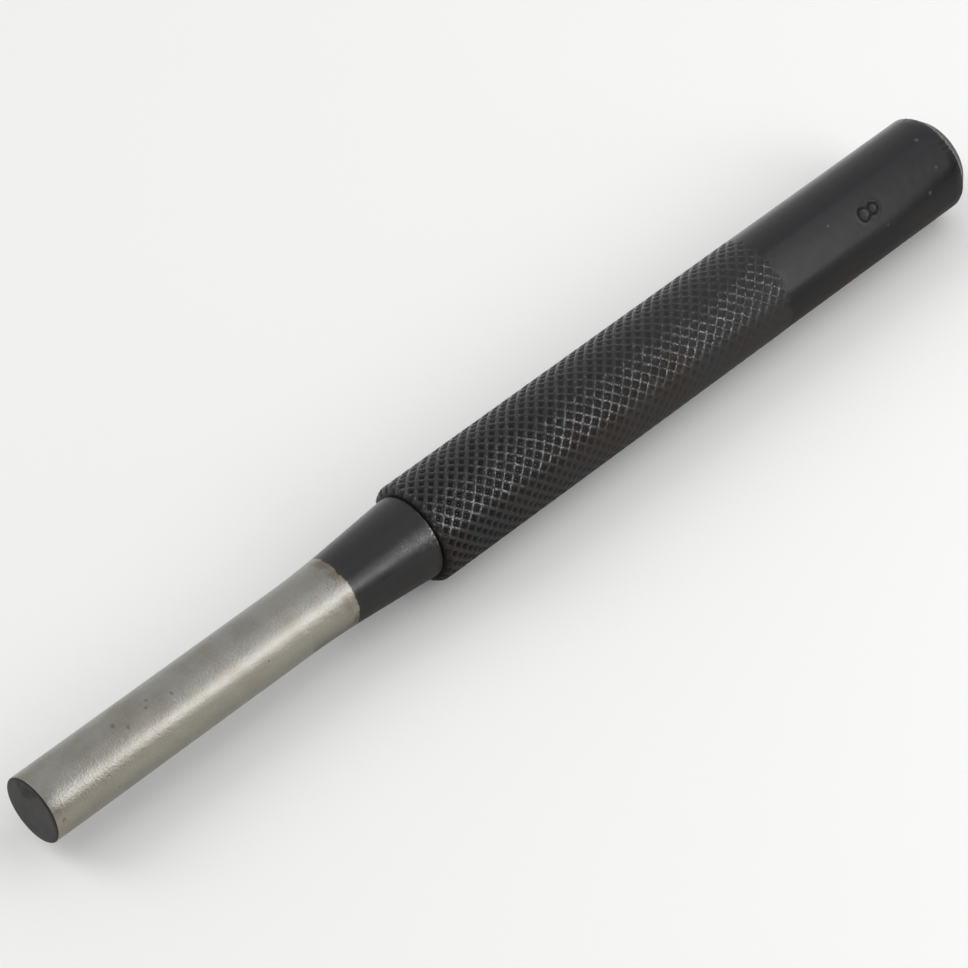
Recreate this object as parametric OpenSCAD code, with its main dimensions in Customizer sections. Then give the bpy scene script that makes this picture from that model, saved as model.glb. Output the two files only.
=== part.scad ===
// Pin punch: a ground pin, a tapered nose and a knurled handle that is struck on its head.
// It lies on its grip. +X runs from the tip to the head, +Z is up, and the origin is at the
// middle of its length, on the surface that it lies on.
// The pin's threaded tang passes through the nose and screws into the handle, which clamps
// the nose against the handle's front face.

/* [Pin] */
// Diameter of the working pin
pin_d = 7.94; // [6.5:0.01:8.6]
// Length of the working pin, from its tip to the nose
pin_len = 35.4; // [20:0.1:60]
// Edge broken round the tip
tip_edge = 0.2; // [0.05:0.05:0.5]

/* [Nose] */
// Diameter of the nose where it seats on the handle
nose_base_d = 10.03; // [9.2:0.01:10.4]
// Length of the nose, from the pin to the handle
nose_len = 17.8; // [12:0.1:24]
// Length of the curve that leads from the pin into the cone
flare_len = 8; // [4:0.1:11]
// Edge broken round the base of the nose
nose_edge = 0.4; // [0.1:0.05:0.5]
// Diameter of the spigot that centres the nose in the handle
spigot_d = 7.2; // [6.6:0.1:8]
// Length of the spigot
spigot_len = 5; // [3:0.1:8]

/* [Thread] */
// Outside diameter of the tang and its thread
thread_d = 5; // [4:0.1:6]
// Distance from one turn of the thread to the next
thread_pitch = 0.8; // [0.5:0.05:1]
// Length of thread held in the handle
thread_len = 8; // [5:0.1:14]
// Free depth of the tapped hole past the end of the tang
hole_spare = 1.6; // [0.5:0.1:4]
// Clearance on each side of the tang and the spigot
fit_gap = 0.05; // [0.02:0.01:0.09]

/* [Handle] */
// Diameter over the ridges of the knurl
grip_d = 11.91; // [11:0.01:14]
// Length of the knurled grip
knurl_len = 53.2; // [30:0.1:80]
// Ridges of each hand round the grip
knurl_starts = 25; // [16:1:30]
// Depth of the pits between the ridges
knurl_depth = 0.28; // [0.1:0.01:0.4]
// How far the plain bar lies below the ridges
ridge_lift = 0.03; // [0.01:0.01:0.1]
// Length of the plain rim in front of the knurl
rim_len = 0.8; // [0.8:0.1:3]
// Round on the front edge of the rim
rim_round = 0.72; // [0.2:0.02:0.8]
// Length of the plain head end, behind the knurl
shank_len = 29.6; // [20:0.1:50]
// Depth of the chamfer round the struck end
head_chamfer = 1.2; // [0.4:0.1:2]
// Length of the chamfer, along the shank
head_chamfer_len = 1.4; // [0.4:0.1:2.5]

/* [Size mark] */
// Height of the stamped figure, along the shank
mark_h = 3.2; // [2:0.1:5]
// Width of the stamped line
mark_line = 0.36; // [0.2:0.02:0.6]
// Depth of the stamped line
mark_depth = 0.15; // [0.05:0.01:0.3]
// Distance from the struck end to the middle of the figure
mark_from_head = 15.6; // [8:0.1:20]
// Turn of the figure about the axis, from the top towards the front
mark_turn = 39.5; // [0:0.5:90]

/* [Hidden] */
$fn = 96;
steel_color = [0.74, 0.73, 0.70];
black_color = [0.20, 0.20, 0.21];
overrun = 0.5;

pin_r = pin_d / 2;
tang_r = thread_d / 2;
nose_base_r = nose_base_d / 2;
spigot_r = spigot_d / 2;
crest_r = grip_d / 2;
pit_r = crest_r - knurl_depth;
bar_r = crest_r - ridge_lift;
mouth_r = bar_r - rim_round;

// Places along the axis
handle_len = rim_len + knurl_len + shank_len;
overall_len = pin_len + nose_len + handle_len;
tip_x = -overall_len / 2;
nose_x = tip_x + pin_len;
handle_x = nose_x + nose_len;

// Thread: grooves with sloped sides, cut into the end of the tang
thread_depth_share = 0.6134;
flank_share = 0.375;
root_share = 0.625;
thread_root_r = tang_r - thread_depth_share * thread_pitch;
tang_len = nose_len + spigot_len + thread_len;
turns = floor(thread_len / thread_pitch);
thread_start = tang_len - turns * thread_pitch;

// Nose: a curve that leaves the pin's line smoothly and joins a straight cone
flare_steps = 10;
cone_slope = (nose_base_r - pin_r) / (nose_len - flare_len / 2);

// Bores in the handle
seat_spare = 0.3;
counterbore_len = spigot_len + seat_spare;
tap_end = spigot_len + thread_len + hole_spare;
drill_point_angle = 59;
bore_r = tang_r + fit_gap;
drill_point_len = bore_r / tan(drill_point_angle);

// Knurl: ridges at 45 degrees, so a pit is as long as it is wide
pit_width = PI * grip_d / knurl_starts;
knurl_rows = round(2 * knurl_len / pit_width);
row_step = knurl_len / knurl_rows;
ring_points = 2 * knurl_starts;
knurl_lap = rim_len / 2;
knurl_end_r = pit_r - knurl_depth / 2;

// The figure eight is two rings: the upper one is smaller, and they share a line's width
upper_share = 0.46;
mark_upper_d = upper_share * (mark_h + mark_line);
mark_lower_d = mark_h + mark_line - mark_upper_d;

// Turns a shape drawn along Z so that it lies along the tool's axis, starting at x
module on_axis(x) {
  translate([x, 0, crest_r]) rotate([0, 90, 0]) children();
}

function thread_profile() = [
  for (turn = [0 : turns - 1])
    let (z = thread_start + turn * thread_pitch)
      each [
        [tang_r, z],
        [thread_root_r, z + flank_share * thread_pitch],
        [thread_root_r, z + root_share * thread_pitch]
      ]
];

module pin() {
  color(steel_color) {
    on_axis(tip_x)
      rotate_extrude()
        polygon([
          [0, 0], [pin_r - tip_edge, 0], [pin_r, tip_edge], [pin_r, pin_len], [0, pin_len]
        ]);
    on_axis(nose_x)
      rotate_extrude()
        polygon(concat([[0, -tip_edge], [tang_r, -tip_edge]], thread_profile(),
          [[thread_root_r, tang_len], [0, tang_len]]));
  }
}

function flare_profile() = [
  for (step = [0 : flare_steps])
    let (z = flare_len * step / flare_steps)
      [pin_r + cone_slope * z * z / (2 * flare_len), z]
];

module nose() {
  color(black_color)
    on_axis(nose_x)
      difference() {
        union() {
          rotate_extrude()
            polygon(concat([[0, 0]], flare_profile(), [
              [nose_base_r - cone_slope * nose_edge, nose_len - nose_edge],
              [nose_base_r - nose_edge, nose_len],
              [0, nose_len]
            ]));
          cylinder(r = spigot_r, h = nose_len + spigot_len);
        }
        translate([0, 0, -overrun])
          cylinder(r = bore_r, h = nose_len + spigot_len + 2 * overrun);
      }
}

// Ring of the knurl at one row: pits and ridge crossings take turns round the grip
function knurl_ring(row) = [
  for (i = [0 : ring_points - 1])
    let (r = (i + row) % 2 == 0 ? pit_r : crest_r, a = 360 * i / ring_points)
      [r * cos(a), r * sin(a), row * row_step]
];

function plain_ring(z) = [
  for (i = [0 : ring_points - 1])
    let (a = 360 * i / ring_points)
      [knurl_end_r * cos(a), knurl_end_r * sin(a), z]
];

// Index of a point: the plain front ring is row -1, the plain rear ring follows the last row
function at(row, i) = (row + 1) * ring_points + (i + ring_points) % ring_points;

function pit_faces(row, i) = concat(
  row < knurl_rows ? [
    [at(row, i), at(row + 1, i), at(row, i + 1)],
    [at(row, i), at(row, i - 1), at(row + 1, i)]
  ] : [],
  row > 0 ? [
    [at(row, i), at(row, i + 1), at(row - 1, i)],
    [at(row, i), at(row - 1, i), at(row, i - 1)]
  ] : []
);

function end_faces(row) = [
  for (i = [0 : ring_points - 1])
    each [
      [at(row, i), at(row + 1, i), at(row + 1, i + 1)],
      [at(row, i), at(row + 1, i + 1), at(row, i + 1)]
    ]
];

// Rod whose surface is a lattice of raised ridges with a four-sided pit in each opening
module knurl() {
  points = concat(
    plain_ring(-knurl_lap),
    [for (row = [0 : knurl_rows]) each knurl_ring(row)],
    plain_ring(knurl_len + knurl_lap)
  );
  faces = concat(
    [[for (i = [0 : ring_points - 1]) at(-1, i)]],
    end_faces(-1),
    [
      for (row = [0 : knurl_rows])
        for (i = [0 : ring_points - 1])
          if ((i + row) % 2 == 0) each pit_faces(row, i)
    ],
    end_faces(knurl_rows),
    [[for (i = [ring_points - 1 : -1 : 0]) at(knurl_rows + 1, i)]]
  );
  polyhedron(points, faces);
}

// Plain rim with a rounded front edge
module rim() {
  rotate_extrude() {
    square([mouth_r, rim_len]);
    translate([0, rim_round]) square([bar_r, rim_len - rim_round]);
    translate([mouth_r, rim_round]) circle(r = rim_round);
  }
}

module shank() {
  rotate_extrude()
    polygon([
      [0, 0], [bar_r, 0], [bar_r, shank_len - head_chamfer_len],
      [bar_r - head_chamfer, shank_len], [0, shank_len]
    ]);
}

module mark_ring(d) {
  linear_extrude(mark_depth + overrun)
    difference() {
      circle(d = d);
      circle(d = d - 2 * mark_line);
    }
}

// Stamped figure eight, standing on the shank's top line with its head towards the struck end
module size_mark() {
  translate([0, 0, bar_r - mark_depth]) {
    translate([mark_h / 2 - mark_upper_d / 2, 0, 0]) mark_ring(mark_upper_d);
    translate([mark_lower_d / 2 - mark_h / 2, 0, 0]) mark_ring(mark_lower_d);
  }
}

module handle() {
  color(black_color)
    difference() {
      on_axis(handle_x) {
        rim();
        translate([0, 0, rim_len]) knurl();
        translate([0, 0, rim_len + knurl_len]) shank();
      }
      on_axis(handle_x) {
        translate([0, 0, -overrun])
          cylinder(r = spigot_r + fit_gap, h = counterbore_len + overrun);
        cylinder(r = bore_r, h = tap_end);
        translate([0, 0, tap_end]) cylinder(r1 = bore_r, r2 = 0, h = drill_point_len);
      }
      translate([tip_x + overall_len - mark_from_head, 0, crest_r])
        rotate([mark_turn, 0, 0]) size_mark();
    }
}

pin();
nose();
handle();
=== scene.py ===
import math

import bpy
import numpy as np
from mathutils import Matrix, Vector, noise


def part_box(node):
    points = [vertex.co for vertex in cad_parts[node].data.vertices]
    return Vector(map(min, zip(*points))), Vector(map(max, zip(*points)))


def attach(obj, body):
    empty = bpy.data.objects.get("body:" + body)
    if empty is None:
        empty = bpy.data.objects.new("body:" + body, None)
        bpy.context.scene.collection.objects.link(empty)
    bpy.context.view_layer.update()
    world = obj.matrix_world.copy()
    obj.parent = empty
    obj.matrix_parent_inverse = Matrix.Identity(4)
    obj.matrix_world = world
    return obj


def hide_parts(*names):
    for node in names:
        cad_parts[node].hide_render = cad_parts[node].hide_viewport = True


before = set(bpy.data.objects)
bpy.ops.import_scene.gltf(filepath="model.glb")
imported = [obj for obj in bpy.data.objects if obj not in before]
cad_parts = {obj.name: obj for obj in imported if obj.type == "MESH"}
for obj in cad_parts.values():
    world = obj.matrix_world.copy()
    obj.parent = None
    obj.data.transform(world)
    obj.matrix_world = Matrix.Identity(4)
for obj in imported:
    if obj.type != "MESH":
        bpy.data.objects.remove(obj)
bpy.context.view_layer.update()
mm = 0.001

# stations along the tool, read from the CAD solids
pinLow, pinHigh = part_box("pin")
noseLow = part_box("nose")[0]
handleLow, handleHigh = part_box("handle")
tipX, noseX, handleX, headX = pinLow[0], noseLow[0], handleLow[0], handleHigh[0]
axisZ = (handleLow[2] + handleHigh[2]) / 2
pinRadius = (pinHigh[2] - pinLow[2]) / 2
crestRadius = (handleHigh[2] - handleLow[2]) / 2
crestSide = (handleHigh[1] - handleLow[1]) / 2
print("frame: tip %.2f nose %.2f handle %.2f head %.2f mm"
      % tuple(value / mm for value in (tipX, noseX, handleX, headX)))


def toLinear(hexColour):
    values = [int(hexColour[i:i + 2], 16) / 255 for i in (1, 3, 5)]
    return [v / 12.92 if v <= 0.04045 else ((v + 0.055) / 1.055) ** 2.4 for v in values] + [1.0]


# an input is a socket to link or a constant to set
def setInputs(tree, node, inputs):
    for name, value in inputs.items():
        if isinstance(value, bpy.types.NodeSocket):
            tree.links.new(value, node.inputs[name])
        else:
            node.inputs[name].default_value = value


def addNode(tree, kind, inputs=None, **settings):
    node = tree.nodes.new("ShaderNode" + kind)
    for name, value in settings.items():
        setattr(node, name, value)
    setInputs(tree, node, inputs or {})
    return node


# a colour is a socket or a hex code
def mixColour(tree, share, first, second):
    first, second = (toLinear(colour) if isinstance(colour, str) else colour for colour in (first, second))
    return addNode(tree, "Mix", {0: share, 6: first, 7: second}, data_type="RGBA").outputs[2]


def mixValue(tree, share, first, second):
    return addNode(tree, "Mix", {0: share, 2: first, 3: second}, data_type="FLOAT").outputs[0]


def mapRange(tree, value, start, end, low=0.0, high=1.0, **settings):
    return addNode(tree, "MapRange", {"Value": value, "From Min": start, "From Max": end,
                                      "To Min": low, "To Max": high}, **settings).outputs[0]


# 1 where the mask is 0, and the given share where the mask is 1
def fallTo(tree, mask, share):
    return mapRange(tree, mask, 0.0, 1.0, 1.0, share)


def compute(tree, operation, *values):
    return addNode(tree, "Math", dict(enumerate(values)), operation=operation).outputs[0]


def computeVector(tree, operation, *values, **named):
    node = addNode(tree, "VectorMath", {**dict(enumerate(values)), **named}, operation=operation)
    return node.outputs["Value" if operation in ("DISTANCE", "LENGTH", "DOT_PRODUCT") else "Vector"]


noiseRange = (0.3, 0.7)          # nearly all of a noise pattern lies between these


def noiseValue(tree, place, width, detail, **inputs):
    inputs = {"Vector": place, "Scale": 1 / width, "Detail": detail, **inputs}
    return addNode(tree, "TexNoise", inputs).outputs["Fac"]


def bumpFrom(tree, height, strength, depth):
    return addNode(tree, "Bump", {"Height": height, "Strength": strength, "Distance": depth}).outputs[0]


def newMaterial(name):
    material = bpy.data.materials.new(name)
    material.use_nodes = True
    tree = material.node_tree
    return material, tree, tree.nodes["Principled BSDF"]


def smoothStep(low, high, value):
    share = np.clip((value - low) / (high - low), 0, 1)
    return share * share * (3 - 2 * share)


# 1 on a side of the tool, given by the angles where it starts, is full, is still full and ends
def sideBand(angles, start, full, stillFull, end):
    return smoothStep(start, full, angles) * smoothStep(end, stillFull, angles)


# point on the tool at x, radius r, turned by angle a from the top towards the front
def ringPoints(x, r, angles):
    x = np.broadcast_to(x, angles.shape)
    r = np.broadcast_to(r, angles.shape)
    return np.stack([x, -r * np.sin(angles), r * np.cos(angles)], axis=1)


def evenAngles(count):
    return np.arange(count) * (2 * math.pi / count)


sharpAngle = math.radians(28)    # edges that turn by more than this are shaded sharp


# a turned piece as a stack of rings; a ring of radius 0 becomes a single middle point
class Turning:
    def __init__(self):
        self.points, self.faces, self.marks, self.rings = [], [], {}, []
        self.count = 0

    def ring(self, x, r, angles, level=None, **marks):
        if np.ndim(r) == 0 and r == 0:
            angles, r = angles[:1], np.zeros(1)
        points = ringPoints(x, r, angles)
        self.points.append(points)
        for name, value in marks.items():
            self.marks.setdefault(name, {})[self.count] = np.broadcast_to(value, (len(points),))
        self.rings.append((self.count, angles, level))
        self.count += len(points)

    def join(self, first, second):
        (startA, anglesA, levelA), (startB, anglesB, levelB) = self.rings[first], self.rings[second]
        if len(anglesA) == 1 or len(anglesB) == 1:
            pole, start, count = ((startA, startB, len(anglesB)) if len(anglesA) == 1
                                  else (startB, startA, len(anglesA)))
            for i in range(count):
                a, b = start + i, start + (i + 1) % count
                self.faces.append((pole, b, a) if len(anglesA) == 1 else (a, b, pole))
            return
        if len(anglesA) == len(anglesB):
            count = len(anglesA)
            for i in range(count):
                j = (i + 1) % count
                a, b, c, d = startA + i, startA + j, startB + j, startB + i
                if levelA is None or levelB is None:
                    self.faces.append((a, b, c, d))
                # a cell of the knurl is split along the ridge, where the level stays the same
                elif abs(levelA[i] - levelB[j]) < abs(levelA[j] - levelB[i]):
                    self.faces.extend([(a, b, c), (a, c, d)])
                else:
                    self.faces.extend([(a, b, d), (b, c, d)])
            return
        # one ring holds all the angles of the other and more, so each gap becomes a fan
        coarse, fine = (first, second) if len(anglesA) < len(anglesB) else (second, first)
        (startC, anglesC), (startF, anglesF) = self.rings[coarse][:2], self.rings[fine][:2]
        places = np.searchsorted(anglesF, anglesC - 1e-9)
        for i in range(len(anglesC)):
            j = (i + 1) % len(anglesC)
            last = places[j] if j else len(anglesF)
            run = [startF + k % len(anglesF) for k in range(places[i], last + 1)]
            face = [startC + i, startC + j] + run[::-1]
            self.faces.append(face if coarse == first else face[::-1])

    def build(self, name, closed=False):
        for i in range(len(self.rings) - 1):
            self.join(i, i + 1)
        if closed:
            self.join(len(self.rings) - 1, 0)
        mesh = bpy.data.meshes.new(name)
        points = np.concatenate(self.points)
        mesh.from_pydata(points.tolist(), [], self.faces)
        for mark, stretches in self.marks.items():
            values = np.zeros(len(points), dtype=np.float32)
            for start, part in stretches.items():
                values[start:start + len(part)] = part
            mesh.attributes.new(mark, "FLOAT", "POINT").data.foreach_set("value", values)
        mesh.polygons.foreach_set("use_smooth", [True] * len(mesh.polygons))
        mesh.validate()
        mesh.set_sharp_from_angle(angle=sharpAngle)
        piece = bpy.data.objects.new(name, mesh)
        bpy.context.scene.collection.objects.link(piece)
        piece.location = (0, 0, axisZ)
        return piece


threadSizes = {
    "outerRadius": 2.5 * mm,
    "pitch": 0.8 * mm,
    "depth": 0.49 * mm,
    "root": 0.25,                # flat share of the root, and share that the flanks take up
    "flank": 0.62,
    "tangLength": 30.8 * mm,     # from the pin's shoulder
    "threadLength": 8 * mm,
    "pinRows": 12,               # mesh rows in a turn, on the pin and in the handle
    "boreRows": 6,
    "point": 0.9,                # turns over which the end of the pin's thread tapers
}


# right-hand thread with flat crest and root: how far it is cut at a place x, round the angles
def threadCut(x, angles):
    share = np.mod((x - angles / (2 * math.pi) * threadSizes["pitch"]) / threadSizes["pitch"], 1)
    rise = np.abs(share - 0.5) * 2             # 1 on the crest, 0 in the root
    return threadSizes["depth"] * (1 - np.clip((rise - threadSizes["root"]) / threadSizes["flank"], 0, 1))


spotCore = 0.35                  # share of a spot's radius that is fully covered


# mask of small soft-edged spots, each given as a place on the tool and a radius, with ragged outlines
def spotMask(tree, place, spots, raggedness):
    ragged = addNode(tree, "TexNoise", {"Vector": place, "Scale": 1 / raggedness, "Detail": 3.0})
    centred = computeVector(tree, "SUBTRACT", ragged.outputs["Color"], (0.5, 0.5, 0.5))
    moved = computeVector(tree, "MULTIPLY_ADD", centred, [raggedness] * 3, place)
    mask = None
    for point, size in spots:
        away = computeVector(tree, "DISTANCE", moved, point)
        share = mapRange(tree, away, spotCore * size, size, 1.0, 0.0)
        mask = share if mask is None else compute(tree, "MAXIMUM", mask, share)
    return mask


# spots from a list of distance from the tip, turn from the top and radius, in mm and degrees
def spotsOn(barRadius, places):
    spots = []
    for fromTip, turn, size in places:
        angle = np.array([math.radians(turn)])
        spots.append((ringPoints(tipX + fromTip * mm, barRadius, angle)[0], size * mm))
    return spots


# how far a place on the tool faces a side, given as a turn from the top to the front in degrees: 1 to -1
def frontSide(tree, place, turn):
    outward = computeVector(tree, "NORMALIZE", computeVector(tree, "MULTIPLY", place, (0, 1, 1)))
    across = math.radians(turn)
    return computeVector(tree, "DOT_PRODUCT", outward, (0, -math.sin(across), math.cos(across)))


# Tool steel, ground round the axis: a dull warm grey with short fine scratches that fray the edges
# of a highlight, faint oily stains and a few dark pits.
groundSteelLook = {
    "steel": "#95938e",
    "warmStain": "#8a857d",
    "oliveStain": "#8b8a82",
    "stainWidth": 6 * mm,
    "frontTint": "#958f7e",        # warmer tint on the side turned to the front
    "frontTintTurn": 76,           # middle of that side, in degrees from the top
    "frontTintShare": 0.45,
    "roughness": (0.27, 0.36),
    "fleck": (0.955, 1.045),     # how far the scratches darken and lighten the steel
    "bump": (0.62, 0.06 * mm),   # strength and depth of the scratches
    "scratchWidth": 0.22 * mm,   # grinding grit is ten times finer: drawn coarser so that it shows
    "scratchLength": 0.32 * mm,
    "pit": "#4f4b45",
    "pitShare": 0.5,             # how far a pit takes on that colour
    "pitRagged": 0.7 * mm,
    # distance from the tip, turn from the top and radius, in mm and degrees
    "pits": ((15.8, -2.6, 0.3), (15.1, 7.6, 0.24), (18.3, 14.2, 0.3), (17.9, 25.8, 0.22),
             (12.2, 16.1, 0.28), (11.1, -0.5, 0.42), (1.0, 74.6, 0.34), (40.9, 20, 0.18),
             (40.7, 25.7, 0.22), (40.5, 31, 0.18), (26.4, -31, 0.25), (8.2, 88, 0.2),
             (29.5, 62, 0.2), (22, 150, 0.35), (9, 215, 0.3), (31, 262, 0.3)),
}


# colour, roughness and height of the ground steel, shared by the pin and the front of the nose
def groundSurface(tree, place):
    look = groundSteelLook
    finer = [1 / look[name] for name in ("scratchWidth", "scratchLength", "scratchLength")]
    scratches = computeVector(tree, "MULTIPLY", place, finer)
    grain = noiseValue(tree, scratches, 1.0, 4.0, Roughness=0.62)
    stains = noiseValue(tree, place, look["stainWidth"], 4.0, Roughness=0.58)
    warm = mapRange(tree, stains, 0.5, 0.68)
    olive = mapRange(tree, stains, 0.32, 0.48, 1.0, 0.0)
    body = mixColour(tree, warm, look["steel"], look["warmStain"])
    body = mixColour(tree, olive, body, look["oliveStain"])
    side = frontSide(tree, place, look["frontTintTurn"])
    frontTint = mapRange(tree, side, 0.82, 0.98, high=look["frontTintShare"])
    body = mixColour(tree, frontTint, body, look["frontTint"])
    pits = spotMask(tree, place, spotsOn(pinRadius, look["pits"]), look["pitRagged"])
    body = mixColour(tree, compute(tree, "MULTIPLY", pits, look["pitShare"]), body, look["pit"])
    fleck = mapRange(tree, grain, *noiseRange, *look["fleck"])
    colour = computeVector(tree, "SCALE", body, Scale=fleck)
    return colour, mapRange(tree, grain, *noiseRange, *look["roughness"]), grain


def groundSteel():
    material, tree, shader = newMaterial("ground_tool_steel")
    place = addNode(tree, "TexCoord").outputs["Object"]
    colour, rough, grain = groundSurface(tree, place)
    bump = bumpFrom(tree, grain, *groundSteelLook["bump"])
    setInputs(tree, shader, {"Metallic": 1.0, "Base Color": colour, "Roughness": rough, "Normal": bump})
    return material


# Tool steel, cut off and darkened by use: dark grey, dull, with rings from the cut, black smudges and painted
# shade along one side of its edge.
cutSteelLook = {
    "steel": "#484543",
    "cool": "#3d3c3e",
    "stainWidth": 2.2 * mm,
    "roughness": 0.5,
    "ringWidth": 0.3 * mm,
    "bump": (0.25, 0.02 * mm),   # strength and depth of the rings
    "smudge": "#171514",
    "smudgeShare": 0.8,
    "smudgeRagged": 1.2 * mm,
    # smudges: distance across and up from the middle, and radius, in mm
    "smudges": ((0.5, 2.6, 1.1), (-0.3, 2.9, 0.9), (0.9, 1.7, 0.8), (0.1, 2.0, 0.6), (1.8, 2.6, 0.6)),
    "edgeShade": (0.3 * mm, -0.22 * mm),     # middle of the unshaded part, across and up: painted shade darkens the edge beyond it
    "edgeShadeReach": (-0.6 * mm, 0.3 * mm),  # where the painted shade on the edge starts and is full, from the pin's radius
    "edgeShadeShare": 0.7,
}


def cutSteel():
    look = cutSteelLook
    material, tree, shader = newMaterial("cut_tool_steel_end")
    place = addNode(tree, "TexCoord").outputs["Object"]
    flat = computeVector(tree, "MULTIPLY", place, (0, 1, 1))
    rings = compute(tree, "MULTIPLY", computeVector(tree, "LENGTH", flat), 1 / look["ringWidth"])
    ringNoise = addNode(tree, "TexNoise", {"W": rings, "Scale": 1.0, "Detail": 2.0}, noise_dimensions="1D")
    stains = noiseValue(tree, place, look["stainWidth"], 5.0, Roughness=0.65)
    body = mixColour(tree, mapRange(tree, stains, 0.4, 0.65), look["steel"], look["cool"])
    spots = [((tipX, across * mm, up * mm), size * mm) for across, up, size in look["smudges"]]
    smudges = spotMask(tree, place, spots, look["smudgeRagged"])
    # painted shade: a dark crescent along one side of the cut end's edge, joined below with the real smudges
    off = computeVector(tree, "DISTANCE", flat, (0, *look["edgeShade"]))
    edgeShadeStart, edgeShadeFull = (pinRadius + edge for edge in look["edgeShadeReach"])
    edgeShade = mapRange(tree, off, edgeShadeStart, edgeShadeFull, high=look["edgeShadeShare"])
    dirty = compute(tree, "MULTIPLY", compute(tree, "MAXIMUM", smudges, edgeShade), look["smudgeShare"])
    setInputs(tree, shader, {"Metallic": 1.0, "Roughness": look["roughness"],
                             "Base Color": mixColour(tree, dirty, body, look["smudge"]),
                             "Normal": bumpFrom(tree, ringNoise.outputs["Fac"], *look["bump"])})
    return material


# Black oxide over turned steel: a thin black skin with a satin gloss, blue-black where it was turned smooth
# and brownish in the knurl, worn through to bare steel on edges, with a few pale specks, and painted shade on
# its front side.
blackOxideLook = {
    "brown": "#281f19",
    "ridge": "#262626",
    # colour of the pits: partly grime, partly painted shade
    "pit": "#0b0a0a",
    "pitShadeShine": 0.7,             # share of the reflection that painted shade leaves in a pit
    "bare": "#6b6966",
    "rubbed": "#58595a",         # bare steel on the ridges of the knurl, still stained
    "shadeTurn": 100,             # side where painted shade darkens the oxide most, in degrees from the top to the front
    "shadeShare": 0.6,            # share of the colour that the painted shade leaves there
    "shadeKnurl": 0.45,           # how much of that painted shade the knurl shows
    "shadeRise": (13 * mm, 0.15),    # stretch before the head where the painted shade reaches higher, and how far
    "dullTurn": 125,             # side that handling never polished, lower down
    "dullRoughness": 0.6,
    "floorRoughness": 0.5,       # in the pits of the knurl
    "bump": (0.35, 0.06 * mm),   # strength and depth of the unevenness
    "mottleWidth": 1.8 * mm,
    "tintWidth": 7 * mm,
    "wearWidth": 0.3 * mm,
    "speck": "#6f6d69",
    "speckShare": 0.35,
    "speckRagged": 0.25 * mm,
    # specks, and scuffs on the nose where its highlight falls, partly a painted sheen: distance from the tip,
    # turn from the top and radius, in mm and degrees
    "specks": ((132.7, 6.1, 0.34), (132.3, 44.2, 0.26), (130.1, 64.9, 0.3), (115.6, 27, 0.22),
               (122.9, 66.2, 0.18), (126, 140, 0.25), (113, 230, 0.3), (129, 300, 0.25)),
    "scuffsAndSheen": ((51.2, 44, 1.5), (49.4, 41, 1.2), (52.4, 50, 1.0), (48.2, 40, 0.8)),
    "scuffSheenShare": 0.5,
    "scuffSheenRagged": 0.9 * mm,
}
# each coat: colour, lowest and highest roughness of the turned skin, the strength of its reflection,
# and the share of it that the painted shade on the front side leaves
noseCoat = {"black": "#0b0b0b", "gloss": (0.25, 0.33), "shine": 0.53, "shadeShine": 0.66}
handleCoat = {"black": "#1c1c1f", "gloss": (0.19, 0.26), "shine": 0.31, "shadeShine": 0.25}
noseBreak = {
    "fromTip": 42.2 * mm,        # where the grinding of the front stops
    "wobble": 0.9 * mm,          # slow and quick unevenness of that edge
    "raggedness": 0.3 * mm,
    "fade": 0.14 * mm,
    "line": "#2b2119",           # dark line behind the edge
    "lineWidth": 0.5 * mm,
    "lineShare": 0.8,
    "stain": "#6b6052",          # brown scale that the grinding left in front of the edge
    "stainWidth": 1.9 * mm,
    "stainFull": 0.2,            # share of that width where the scale is densest
    "stainShare": 0.7,
    "grain": 1.9,                # scratches against the unevenness of the oxide
    "ground": 0.95,              # how far they replace it
}


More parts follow.
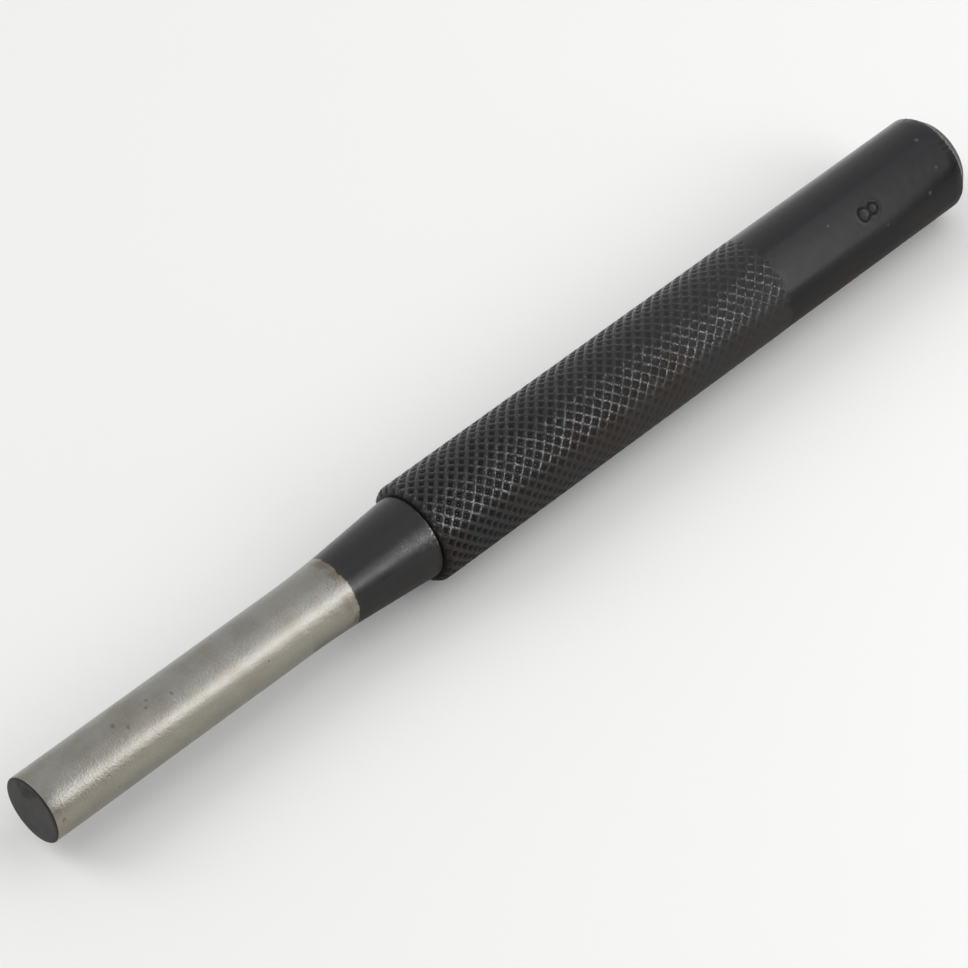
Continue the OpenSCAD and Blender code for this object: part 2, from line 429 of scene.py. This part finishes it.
def blackOxide(name, coat, groundTo=None):
    look = blackOxideLook
    material, tree, shader = newMaterial(name)
    place = addNode(tree, "TexCoord").outputs["Object"]
    along = addNode(tree, "SeparateXYZ", {0: place}).outputs["X"]
    mottle = noiseValue(tree, place, look["mottleWidth"], 5.0, Roughness=0.6)
    tint = noiseValue(tree, place, look["tintWidth"], 3.0)
    wearNoise = noiseValue(tree, place, look["wearWidth"], 4.0)
    knurled, pit, floor, wear = (addNode(tree, "Attribute", attribute_name=mark).outputs["Fac"]
                                 for mark in ("knurled", "pit", "floor", "wear"))
    # painted shade: the side turned to the front and the floor is darkened and its reflection weakened,
    # and that side reaches higher near the struck end; the same side is also browner
    side = frontSide(tree, place, look["shadeTurn"])
    stretch, rise = look["shadeRise"]
    reach = compute(tree, "ADD", side, mapRange(tree, along, headX - stretch, headX, high=rise))
    paintedShade = mapRange(tree, reach, 0.71, 0.91, interpolation_type="SMOOTHSTEP")
    paintedShade = compute(tree, "MULTIPLY", paintedShade, fallTo(tree, knurled, look["shadeKnurl"]))
    low = mapRange(tree, frontSide(tree, place, look["dullTurn"]), 0.45, 0.85)
    browner = mapRange(tree, compute(tree, "MULTIPLY_ADD", side, 0.2, tint), 0.56, 0.8)
    tinted = compute(tree, "MULTIPLY", browner, compute(tree, "MAXIMUM", knurled, low))
    skin = mixColour(tree, knurled, coat["black"], look["ridge"])
    skin = mixColour(tree, tinted, skin, look["brown"])
    # painted shade: the colour is darkened on the side turned to the front
    skin = computeVector(tree, "SCALE", skin, Scale=fallTo(tree, paintedShade, look["shadeShare"]))
    # the pit mark darkens the pits of the knurl and the stamped figure, partly grime and partly painted
    # shade, and the rim beside the nose with painted shade
    skin = mixColour(tree, pit, skin, look["pit"])
    specks = spotMask(tree, place, spotsOn(handleLook["barRadius"], look["specks"]), look["speckRagged"])
    skin = mixColour(tree, compute(tree, "MULTIPLY", specks, look["speckShare"]), skin, look["speck"])
    # wear is a mark on the mesh, broken up so that the bare steel has a ragged edge
    metal = mapRange(tree, compute(tree, "ADD", wear, wearNoise), 1.0, 1.12)
    covered = compute(tree, "SUBTRACT", 1.0, metal)
    rough = mapRange(tree, mottle, *noiseRange, *coat["gloss"])
    rough = mixValue(tree, floor, rough, look["floorRoughness"])
    rough = mixValue(tree, compute(tree, "MULTIPLY", low, covered), rough, look["dullRoughness"])
    height = mottle
    if groundTo is not None:
        # scuffs of half-bare steel where the nose's highlight falls: partly wear, partly painted sheen
        scuffsAndSheen = spotMask(tree, place, spotsOn(noseLook["baseRadius"], look["scuffsAndSheen"]), look["scuffSheenRagged"])
        patchy = mapRange(tree, wearNoise, 0.4, 0.64, high=look["scuffSheenShare"])
        metal = compute(tree, "MAXIMUM", metal, compute(tree, "MULTIPLY", scuffsAndSheen, patchy))
    bare = mixColour(tree, knurled, look["bare"], look["rubbed"])
    colour = mixColour(tree, metal, skin, bare)
    if groundTo is not None:
        steel, steelRough, grain = groundSurface(tree, place)
        wobbly = compute(tree, "MULTIPLY_ADD", mottle, noseBreak["wobble"], along)
        ragged = compute(tree, "MULTIPLY_ADD", wearNoise, noseBreak["raggedness"], wobbly)
        past = compute(tree, "SUBTRACT", ragged, groundTo)
        ground = mapRange(tree, past, 0.0, noseBreak["fade"], 1.0, 0.0)
        line = mapRange(tree, past, 0.0, noseBreak["lineWidth"], noseBreak["lineShare"], 0.0)
        stainWidth = noseBreak["stainWidth"]
        near = mapRange(tree, past, -stainWidth, -noseBreak["stainFull"] * stainWidth)
        scale = mapRange(tree, mottle, 0.42, 0.6, high=noseBreak["stainShare"])
        steel = mixColour(tree, compute(tree, "MULTIPLY", near, scale), steel, noseBreak["stain"])
        colour = mixColour(tree, ground, mixColour(tree, line, colour, noseBreak["line"]), steel)
        metal = compute(tree, "MAXIMUM", metal, ground)
        rough = mixValue(tree, ground, rough, steelRough)
        ground = compute(tree, "MINIMUM", ground, noseBreak["ground"])
        height = mixValue(tree, ground, mottle, compute(tree, "MULTIPLY", grain, noseBreak["grain"]))
    # painted shade: the reflection is weakened on the side turned to the front, and in the pits
    shine = fallTo(tree, compute(tree, "MULTIPLY", paintedShade, covered), coat["shadeShine"])
    shine = compute(tree, "MULTIPLY", shine, fallTo(tree, pit, look["pitShadeShine"]))
    bump = bumpFrom(tree, height, *look["bump"])
    setInputs(tree, shader, {"Specular IOR Level": coat["shine"], "Specular Tint": shine,
                             "Base Color": colour, "Metallic": metal, "Roughness": rough, "Normal": bump})
    return material


roundTurns = [math.radians(turn) for turn in (0, 30, 60, 90)]    # mesh steps in a rounded edge

pinLook = {
    "columns": 128,
    "edge": 0.2 * mm,            # broken edge round the tip
    "shoulder": noseX - tipX,
    "tipRings": (0, 0.25, 0.5, 0.75, 0.9),     # of the flat end, as shares of its radius
    "tipFacing": -0.4,           # faces that turn to the tip at least this far are the cut end
}


def makePin():
    look, thread = pinLook, threadSizes
    angles = evenAngles(look["columns"])
    turning = Turning()
    edge = look["edge"]
    for share in look["tipRings"]:
        turning.ring(tipX, share * (pinRadius - edge), angles)
    for turn in roundTurns:
        turning.ring(tipX + edge * (1 - math.cos(turn)), pinRadius - edge * (1 - math.sin(turn)), angles)
    for share in np.linspace(0.05, 1, 16):
        turning.ring(tipX + edge + share * (look["shoulder"] - edge), pinRadius, angles)
    tangStart = tipX + look["shoulder"]
    threadStart = tangStart + thread["tangLength"] - thread["threadLength"]
    threadEnd = tangStart + thread["tangLength"]
    turning.ring(tangStart, thread["outerRadius"], angles)
    for share in np.linspace(0.1, 0.97, 8):
        turning.ring(tangStart + share * (threadStart - tangStart), thread["outerRadius"], angles)
    rows = round(thread["threadLength"] / thread["pitch"] * thread["pinRows"])
    for row in range(rows + 1):
        x = threadStart + row / rows * thread["threadLength"]
        runIn = smoothStep(0, 1, np.float64((x - threadStart) / thread["pitch"]))
        point = smoothStep(0, 1, np.float64((threadEnd - x) / (thread["point"] * thread["pitch"])))
        r = thread["outerRadius"] - threadCut(x - threadStart, angles) * runIn
        turning.ring(x, np.minimum(r, thread["outerRadius"] - thread["depth"] * (1 - point)), angles)
    turning.ring(threadEnd, 0, angles)
    piece = turning.build("pin_ground")
    piece.data.materials.append(groundSteel())
    piece.data.materials.append(cutSteel())
    for face in piece.data.polygons:
        if face.normal.x < look["tipFacing"] and face.center.x < tipX + edge:
            face.material_index = 1
    return piece


noseLook = {
    "columns": 128,
    "baseRadius": 5.015 * mm,
    "flare": 8 * mm,
    "seam": 0.01 * mm,           # gap to the pin's shoulder, too fine to see
    "edge": 0.2 * mm,
    "spigotRadius": 3.6 * mm,
    "spigot": 5 * mm,
    "spigotChamfer": 0.25 * mm,
    "bore": 2.55 * mm,
    "wearAndGlintTurn": math.radians(46),     # side where the edge of the base is worn most, where the highlight falls: partly painted highlight
    "wearAndGlintSpread": math.radians(25),
    "baseWear": (0.12, 0.36),    # wear beside that edge: all round, and more on that side as painted highlight
    "edgeWear": (0.28, 0.38),    # the same on the edge
}


def makeNose():
    look = noseLook
    angles = evenAngles(look["columns"])
    length = handleX - noseX
    slope = (look["baseRadius"] - pinRadius) / (length - look["flare"] / 2)
    turning = Turning()
    turning.ring(noseX + look["seam"], look["bore"], angles)
    for share in np.linspace(0, 1, 17):
        x = look["seam"] + share * (look["flare"] - look["seam"])
        turning.ring(noseX + x, pinRadius + slope * x * x / (2 * look["flare"]), angles)
    # the wear all round is real; the extra wear on the side where the highlight falls is painted highlight
    rubbed = np.exp(-((angles - look["wearAndGlintTurn"]) / look["wearAndGlintSpread"]) ** 2)
    baseWear = look["baseWear"][0] + look["baseWear"][1] * rubbed
    edgeWear = look["edgeWear"][0] + look["edgeWear"][1] * rubbed
    for share in (*np.linspace(0.1, 0.9, 9), 0.92, 0.95, 0.98):
        x = look["flare"] + share * (length - look["flare"] - look["edge"])
        near = float(smoothStep(0.86, 0.98, np.float64(share)))
        turning.ring(noseX + x, pinRadius + slope * (x - look["flare"] / 2), angles, wear=near * baseWear)
    for step, turn in enumerate(roundTurns):
        x = length - look["edge"] * (1 - math.sin(turn))
        r = look["baseRadius"] - look["edge"] * (slope + 1 - math.cos(turn))
        turning.ring(noseX + x, r, angles, wear=edgeWear * (step < 2))
    turning.ring(handleX, look["spigotRadius"], angles)
    for share in (0.05, 0.5, 0.94):
        turning.ring(handleX + share * look["spigot"], look["spigotRadius"], angles)
    turning.ring(handleX + look["spigot"], look["spigotRadius"] - look["spigotChamfer"], angles)
    turning.ring(handleX + look["spigot"], look["bore"], angles)
    turning.ring(handleX, look["bore"], angles)
    piece = turning.build("nose_turned", closed=True)
    piece.data.materials.append(blackOxide("black_oxide_turned_nose", noseCoat, tipX + noseBreak["fromTip"]))
    return piece


handleLook = {
    "barRadius": 5.925 * mm,
    "rim": 0.8 * mm,
    "rimRound": 0.72 * mm,
    "rimWear": 0.1,
    # inside
    "counterbore": (3.65 * mm, 5.3 * mm),      # radius and depth
    "mouth": (0.15 * mm, 0.6 * mm),     # broken edge of the counterbore, and the next ring round it
    "tapped": 14.6 * mm,
    "threadGap": 0.05 * mm,
    "drillPoint": 1.53 * mm,
    # knurl
    "starts": 25,
    "split": 4,                  # mesh steps in half a pit
    "knurl": 53.2 * mm,
    "rows": 71,
    # distance of each mesh step from the middle of its ridge, in ridge spacings
    "spread": (0, 0.1, 0.24, 0.39, 0.5),
    # at the front, middle and rear: half width of a ridge's top, where the floor of a pit starts,
    # how deep a pit is, and how bright the painted highlight in its middle is, a spot of bare steel
    "land": (0.15, 0.12, 0.1),
    "floor": (0.39, 0.34, 0.25),
    "depth": (0.28 * mm, 0.17 * mm, 0.07 * mm),
    "paintedGlint": (0.95, 0.6, 0.0),
    "paintedGlintFrom": 0.49,       # distance from the ridges where that spot starts
    "seeds": (11, 5),            # of the pits and the grain, and of the spots
    "depthSpread": 0.1,          # how much the pits differ in depth, and their spots in brightness
    "spotSpread": (0.8, 1.3),
    "filled": (0.15, 0.95),      # share of a pit on the dirty side that dirt fills, at the front and rear
    # sides, in radians from the top: where they start, are full, are still full and end
    # the first is the side where the highlight falls, which takes the painted highlight
    "glintSide": (0.2, 0.4, 0.9, 1.1),
    "dirtySide": (1.0, 1.35, 2.45, 2.97),
    "crown": 0.03 * mm,          # how far the middle of a ridge stands above its sides
    "grain": 0.009 * mm,         # roughness that rolling leaves on the ridges and pits
    "worn": 0.02 * mm,           # how far the ridges are rubbed down in patches
    "patch": (1.6 * mm, 3.6),    # length of a patch, and how finely patches divide the round
    "ridgeWear": (0.45, 0.08),   # wear of the ridges: everywhere, and more as painted highlight on the side where the highlight falls
    "patchWear": 0.1,
    # start of the knurl, its slant, its waves and their number
    "runIn": (-1.35 * mm, 0.4 * mm, 0.05 * mm, 5),
    "runOut": 0.9 * mm,          # how unevenly it ends
    "feedIn": 0.3 * mm,
    "feedOut": (0.05 * mm, 0.8 * mm),
    "rimDepth": (-1.2 * mm, -0.7 * mm),        # where the pits start on the rim and reach their depth
    "paintedRimShade": (0.45, -0.45 * mm, -0.75 * mm),      # painted shade on the rim beside the nose: its darkness, where it starts and is full
    # head
    "shankGaps": (0.2 * mm, 0.12 * mm),        # first and last ring, from the knurl and the chamfer
    "shankWear": (0.1, 0.25),    # everywhere, and more near the chamfer
    "shankWorn": (0.8 * mm, 0.1 * mm),
    "chamfer": (1.2 * mm, 1.4 * mm),    # depth and length
    # share of the chamfer, wear and dullness
    "chamferRings": ((0.06, 0.66, 0), (0.16, 0.52, 0.7), (0.5, 0.49, 1), (0.95, 0.55, 1)),
    "chamferRagged": 0.25 * mm,
    "chamferNotches": 9,         # how finely that divides the round
    "faceRings": (4.68, *np.arange(4.4, 0.3, -0.4)),     # radii in mm
    "faceWear": 0.74,
    "dent": 0.08 * mm,
    "dentFlat": (4.8, 0.8),      # radius where the dents end, and the width over which they fade, in mm
    "dentScale": 1.1,            # dents in a mm
}
markLook = {
    "height": 3.2 * mm,
    "line": 0.36 * mm,
    "depth": 0.15 * mm,
    "wall": (0.25, 1.15),        # where the wall of the line starts and ends, in half line widths
    "lip": 0.012 * mm,           # metal pushed up beside the stamped line
    "lipReach": (1.5, 2.2),      # its middle and its spread, in half line widths
    "fromHead": 15.6 * mm,
    "turn": math.radians(39.5),
    "upperShare": 0.46,
    "margin": 0.7 * mm,          # finer mesh round the figure: beyond its ends, its width and its step
    "widthShare": 0.75,
    "step": 0.06 * mm,
}


# how far the stamped figure eight lowers the surface, from two rings as in the CAD
def markCut(x, angles):
    upper = markLook["upperShare"] * (markLook["height"] + markLook["line"])
    lower = markLook["height"] + markLook["line"] - upper
    along = x - (headX - markLook["fromHead"])
    across = handleLook["barRadius"] * np.sin(angles - markLook["turn"])
    front = np.cos(angles - markLook["turn"]) > 0
    half = markLook["line"] / 2
    away = np.full(angles.shape, 1.0)
    rings = ((markLook["height"] / 2 - upper / 2, upper), (lower / 2 - markLook["height"] / 2, lower))
    for middle, size in rings:
        ringRadius = size / 2 - half
        away = np.minimum(away, np.abs(np.hypot(along - middle, across) - ringRadius))
    wallStart, wallEnd = (share * half for share in markLook["wall"])
    lipMiddle, lipEnd = (share * half for share in markLook["lipReach"])
    cut = markLook["depth"] * (1 - smoothStep(wallStart, wallEnd, away))
    lip = markLook["lip"] * (1 - smoothStep(half, lipEnd, np.abs(away - lipMiddle) + half))
    return np.where(front, cut - lip, 0)


# mesh steps of a row, moved towards the ridges that run both ways at 45 degrees: place along and
# round the grip in mesh steps, distance from the nearest ridge, and the number of the pit
def knurlLattice(row, columns):
    step, spread = handleLook["split"], handleLook["spread"]
    p = (columns / step + row / step + 1) / 2
    q = (columns / step - row / step + 1) / 2
    ridgeP, ridgeQ = np.floor(p) + 0.5, np.floor(q) + 0.5
    even = np.linspace(0, 0.5, step + 1)
    awayP = np.interp(np.abs(p - ridgeP), even, spread)
    awayQ = np.interp(np.abs(q - ridgeQ), even, spread)
    pit = (np.round(p) - np.round(q), np.mod(np.round(p) + np.round(q), 2 * handleLook["starts"]))
    pit = tuple(number.astype(int) for number in pit)
    p = ridgeP + np.sign(p - ridgeP) * awayP
    q = ridgeQ + np.sign(q - ridgeQ) * awayQ
    return (p - q) * step, (p + q - 1) * step, np.minimum(awayP, awayQ), pit


# radius of the bar at a distance behind its front face, with the front edge rounded
def barProfile(x):
    roundSize = handleLook["rimRound"]
    into = np.clip(roundSize - x, 0, roundSize)
    return handleLook["barRadius"] - roundSize + np.sqrt(roundSize ** 2 - into ** 2)


# inside of the handle, from the drill point out to the mouth
def addBore(turning, angles):
    look, thread = handleLook, threadSizes
    threadStart = noseX + thread["tangLength"] - thread["threadLength"]
    bore = thread["outerRadius"] + look["threadGap"]
    tapped = handleX + look["tapped"]
    boreAngles = angles[::look["split"]]
    turning.ring(tapped + look["drillPoint"], 0, boreAngles)
    turning.ring(tapped, bore, boreAngles)
    counterRadius, counterDepth = look["counterbore"]
    rows = round((look["tapped"] - counterDepth) / thread["pitch"] * thread["boreRows"])
    for row in range(rows + 1):
        x = tapped - (row + 0.5) / (rows + 1) * (look["tapped"] - counterDepth)
        turning.ring(x, bore - threadCut(x - threadStart, boreAngles), boreAngles)
    turning.ring(handleX + counterDepth, bore, boreAngles)
    turning.ring(handleX + counterDepth, counterRadius, boreAngles)
    for share in (0.9, 0.5, 0.06):
        turning.ring(handleX + share * counterDepth, counterRadius, boreAngles)
    turning.ring(handleX, counterRadius + look["mouth"][0], boreAngles)
    turning.ring(handleX, counterRadius + look["mouth"][1], angles)


# knurl, which starts on the rim and runs out at both ends where the wheel was fed in and lifted
def addKnurl(turning, angles):
    look = handleLook
    columns = len(angles)
    column = np.arange(columns)
    knurlX = handleX + look["rim"]
    rowStep = look["knurl"] / look["rows"]
    stations = (0, look["knurl"] / 2, look["knurl"])
    rng, spotRng = (np.random.default_rng(seed) for seed in look["seeds"])
    pitDepth = 1 + look["depthSpread"] * rng.normal(0, 1, (2 * look["rows"], 2 * look["starts"])).clip(-2, 2)
    unevenEnd = np.repeat(rng.random(columns // look["split"]), look["split"])
    lastPlace = look["knurl"] - look["runOut"] * unevenEnd
    start, slant, waves, waveCount = look["runIn"]
    firstPlace = start + slant * (1 - np.cos(angles)) / 2 + waves * np.sin(waveCount * angles)
    dirty = sideBand(angles, *look["dirtySide"])
    pitSpot = spotRng.uniform(*look["spotSpread"], pitDepth.shape)
    # side where the highlight falls: painted highlight goes there
    glintSide = sideBand(angles, *look["glintSide"])
    ridgeWear = look["ridgeWear"][0] + look["ridgeWear"][1] * glintSide
    patchLength, patchFineness = look["patch"]
    rimShadeShare, rimShadeStart, rimShadeFull = look["paintedRimShade"]
    rings = []
    for row in range(-look["split"], look["rows"] * look["split"] + 1):
        evenX = row / look["split"] * rowStep
        feed = smoothStep(firstPlace, firstPlace + look["feedIn"], evenX)
        feed = feed * smoothStep(*look["feedOut"], lastPlace - evenX)
        along, across, fromRidge, pit = knurlLattice(row, column)
        x = evenX + feed * (along / look["split"] * rowStep - evenX)
        turned = (column + feed * (across - column)) * (2 * math.pi / columns)
        floor, land, feedDepth, paintedGlint = (np.interp(evenX, stations, look[name])
                                             for name in ("floor", "land", "depth", "paintedGlint"))
        share = np.clip((fromRidge - land) / (floor - land), 0, 1)
        crown = look["crown"] * np.clip(fromRidge / land, 0, 1)
        patches = np.array([noise.noise(Vector((evenX / patchLength, math.cos(a) * patchFineness,
                                                math.sin(a) * patchFineness))) for a in angles])
        filled = dirty * np.interp(evenX, stations[::2], look["filled"])
        depth = feedDepth * pitDepth[pit] * smoothStep(*look["rimDepth"], evenX) * (1 - filled)
        lift = (crestRadius - look["barRadius"]) + look["worn"] * np.minimum(patches, 0)
        grain = look["grain"] * rng.normal(0, 1, columns).clip(-2.5, 1)
        base = barProfile(look["rim"] + x)
        height = lift - share * depth + (1 - filled) * (grain - crown)
        radius = np.minimum(base + feed * height, crestRadius)
        # the sides stay in the CAD box; near the top and bottom, where the sine is small, they always do
        radius = np.minimum(radius, crestSide / np.maximum(np.abs(np.sin(turned)), 0.5))
        # painted shade where the rim meets the nose
        rimShading = rimShadeShare * smoothStep(rimShadeStart, rimShadeFull, x)
        # painted highlight: a bare spot in the middle of each pit, only on the side where the highlight falls
        glintSpot = (fromRidge > look["paintedGlintFrom"]) * glintSide * pitSpot[pit] * paintedGlint
        # the pit mark grows with the depth of a pit: partly grime, partly painted shade in it
        marks = {"wear": feed * (ridgeWear * (1 - share) + look["patchWear"] * patches + glintSpot) * (1 - dirty),
                 "pit": np.maximum(share * feed * (1 - filled) * feedDepth / look["depth"][0], rimShading),
                 "floor": share * feed, "knurled": feed}
        rings.append((knurlX + x, radius, turned, fromRidge, marks))

    # front of the rounded rim, notched by the first pits
    edgeRadius, edgeAngles = rings[0][1], rings[0][2]
    lead = look["rim"] - rowStep
    for share in np.linspace(0, 0.9, 5):
        x = share * share * lead
        turning.ring(handleX + x, np.minimum(barProfile(x), edgeRadius), edgeAngles,
                     wear=look["rimWear"], floor=1 - share)
    for x, radius, turned, fromRidge, marks in rings:
        turning.ring(x, radius, turned, fromRidge, **marks)


# plain head end, with extra columns and rows round the stamped figure, its chamfer and the struck face
def addHead(turning, angles):
    look = handleLook
    markX = headX - markLook["fromHead"]
    reach = markLook["height"] / 2 + markLook["margin"]
    width = 2 * math.pi / len(angles)
    parts = max(2, round(width * look["barRadius"] / markLook["step"]))
    fineAngles = []
    for a in angles:
        offset = abs((a + width / 2 - markLook["turn"] + math.pi) % (2 * math.pi) - math.pi)
        near = offset * look["barRadius"] < reach * markLook["widthShare"]
        fineAngles.extend(a + width * part / parts for part in range(parts if near else 1))
    fineAngles = np.array(fineAngles)
    shankX = handleX + look["rim"] + look["knurl"]
    chamferDepth, chamferLength = look["chamfer"]
    chamferX = headX - chamferLength
    knurlGap, chamferGap = look["shankGaps"]
    places = list(np.linspace(shankX + knurlGap, markX - reach, 10))
    places += list(np.arange(markX - reach + markLook["step"], markX + reach, markLook["step"]))
    places += list(np.linspace(markX + reach, chamferX - chamferGap, 12))
    everywhere, more = look["shankWear"]
    for x in places:
        cut = markCut(x, fineAngles)
        near = float(smoothStep(*look["shankWorn"], np.float64(chamferX - x)))
        # the stamped line carries the pit mark: partly grime, partly painted shade in it
        turning.ring(x, look["barRadius"] - cut, fineAngles, pit=np.clip(cut / markLook["depth"], 0, 1),
                     wear=everywhere + more * near)
    # ground chamfer and struck end, a little uneven
    notches = look["chamferNotches"]
    jag = np.array([abs(noise.noise(Vector((math.cos(a) * notches, math.sin(a) * notches, notches))))
                    for a in fineAngles])
    for share, worn, dull in look["chamferRings"]:
        turning.ring(chamferX + share * chamferLength - look["chamferRagged"] * jag * (1 - share),
                     look["barRadius"] - share * chamferDepth, fineAngles, wear=worn, floor=dull)
    flatFrom, flatWidth = look["dentFlat"]
    for r in look["faceRings"]:
        dent = np.array([noise.noise(Vector((math.cos(a) * r, math.sin(a) * r, 3.0)) * look["dentScale"])
                         for a in fineAngles])
        dent = dent * min(1, (flatFrom - r) / flatWidth)
        turning.ring(headX - look["dent"] * (1 + dent), r * mm, fineAngles, wear=look["faceWear"], floor=1)
    turning.ring(headX - look["dent"], 0, fineAngles, wear=look["faceWear"], floor=1)


def makeHandle():
    angles = evenAngles(2 * handleLook["starts"] * handleLook["split"])
    turning = Turning()
    addBore(turning, angles)
    addKnurl(turning, angles)
    addHead(turning, angles)
    piece = turning.build("handle_knurled")
    piece.data.materials.append(blackOxide("black_oxide_knurled_handle", handleCoat))
    return piece


pinPiece = makePin()
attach(pinPiece, "pin")
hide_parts("pin")
print("pin: %d faces" % len(pinPiece.data.polygons))
nosePiece = makeNose()
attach(nosePiece, "nose")
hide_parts("nose")
print("nose: %d faces" % len(nosePiece.data.polygons))
handlePiece = makeHandle()
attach(handlePiece, "handle")
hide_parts("handle")
print("handle: %d faces" % len(handlePiece.data.polygons))

studio = {
    "floor": "#f4f4f3",
    "floorSize": 12.0,
    "sky": "#ffffff",
    "skyStrength": (0.35, 0.76),     # low in front of the tool, and everywhere else
    "skyEdge": (-0.85, 0.05),        # where the sky starts to rise and is full, on the way from front to back
    # panels in front of the tool, curved round its axis: the stretch that a panel covers, from the tip,
    # the turns from the top at which it starts and ends in degrees, and how bright its parts are
    "strip": {"along": (110 * mm, 248 * mm), "turns": (33, 66), "levels": (1.55, 4.3)},
    "box": {"along": (252 * mm, 386 * mm), "turns": (-10, 89), "levels": (1.0, 1.7, 2.4, 2.9, 2.9, 2.9)},
    "panelDistance": 0.4,
    # soft light from behind: direction to it, distance, size and power in watts
    "key": {"towards": (-0.5, 0.6, 0.62), "distance": 0.9, "size": 0.5, "power": 1.9},
}
cameraView = {
    "lens": 168.7,               # mm, on the sensor below
    "sensor": 36,
    "nearest": 0.01,
    "aim": (64.0 * mm, -0.1 * mm, 0.0),    # from the middle of the tip
    "azimuth": 45.27,
    "elevation": 47.094,
    "distance": 487.7 * mm,
}


def makeFloor():
    half = studio["floorSize"] / 2
    mesh = bpy.data.meshes.new("floor")
    corners = [(-half, -half, 0), (half, -half, 0), (half, half, 0), (-half, half, 0)]
    mesh.from_pydata(corners, [], [(0, 1, 2, 3)])
    floor = bpy.data.objects.new("floor", mesh)
    bpy.context.scene.collection.objects.link(floor)
    material, tree, shader = newMaterial("matt_white_paper")   # seamless paper: no gloss, no texture
    setInputs(tree, shader, {"Base Color": toLinear(studio["floor"]), "Roughness": 1.0,
                             "Specular IOR Level": 0.0})
    mesh.materials.append(material)


# back is the direction from the tool to the lamp, which shines along its own -Z
def makeLamp(name, place, back, size, power):
    data = bpy.data.lights.new(name, "AREA")
    data.shape = "RECTANGLE"
    data.size, data.size_y = size
    data.energy = power
    lamp = bpy.data.objects.new(name, data)
    lamp.visible_camera = False
    bpy.context.scene.collection.objects.link(lamp)
    along = (Vector((1, 0, 0)) - back * back.x).normalized()
    turn = Matrix((along, back.cross(along), back)).transposed().to_4x4()
    lamp.matrix_world = Matrix.Translation(place) @ turn


def makePanel(name):
    look, away = studio[name], studio["panelDistance"]
    low, high = look["along"]
    first, last = (math.radians(turn) for turn in look["turns"])
    part = (last - first) / len(look["levels"])
    size = (high - low, 2 * away * math.tan(part / 2))
    for i, level in enumerate(look["levels"]):
        turn = first + (i + 0.5) * part
        back = Vector((0, -math.sin(turn), math.cos(turn)))
        place = Vector((tipX + (low + high) / 2, 0, axisZ)) + away * back
        makeLamp("%s_%d" % (name, i), place, back, size, level * math.pi * size[0] * size[1])


def makeKey():
    look = studio["key"]
    back = Vector(look["towards"]).normalized()
    makeLamp("key", back * look["distance"], back, (look["size"], look["size"]), look["power"])


def makeCamera():
    data = bpy.data.cameras.new("camera")
    data.lens = cameraView["lens"]
    data.sensor_width = cameraView["sensor"]
    data.clip_start = cameraView["nearest"]
    camera = bpy.data.objects.new("camera", data)
    bpy.context.scene.collection.objects.link(camera)
    turn, tilt = math.radians(cameraView["azimuth"]), math.radians(cameraView["elevation"])
    forward = Vector((math.cos(tilt) * math.cos(turn), math.cos(tilt) * math.sin(turn), -math.sin(tilt)))
    aim = Vector((tipX, 0, axisZ)) + Vector(cameraView["aim"])
    camera.location = aim - forward * cameraView["distance"]
    camera.rotation_euler = forward.to_track_quat("-Z", "Y").to_euler()
    bpy.context.scene.camera = camera


def makeSky():
    world = bpy.data.worlds.new("studio")
    bpy.context.scene.world = world
    world.use_nodes = True
    tree = world.node_tree
    direction = addNode(tree, "TexCoord").outputs["Generated"]
    towardsBack = addNode(tree, "SeparateXYZ", {0: direction}).outputs["Y"]
    strength = mapRange(tree, towardsBack, *studio["skyEdge"], *studio["skyStrength"])
    setInputs(tree, tree.nodes["Background"], {"Color": toLinear(studio["sky"]), "Strength": strength})


makeFloor()
makePanel("strip")
makePanel("box")
makeKey()
makeCamera()
makeSky()
bpy.context.scene.view_settings.view_transform = "Standard"
print("studio: floor, two panels, key light, camera, sky")

bpy.context.view_layer.update()
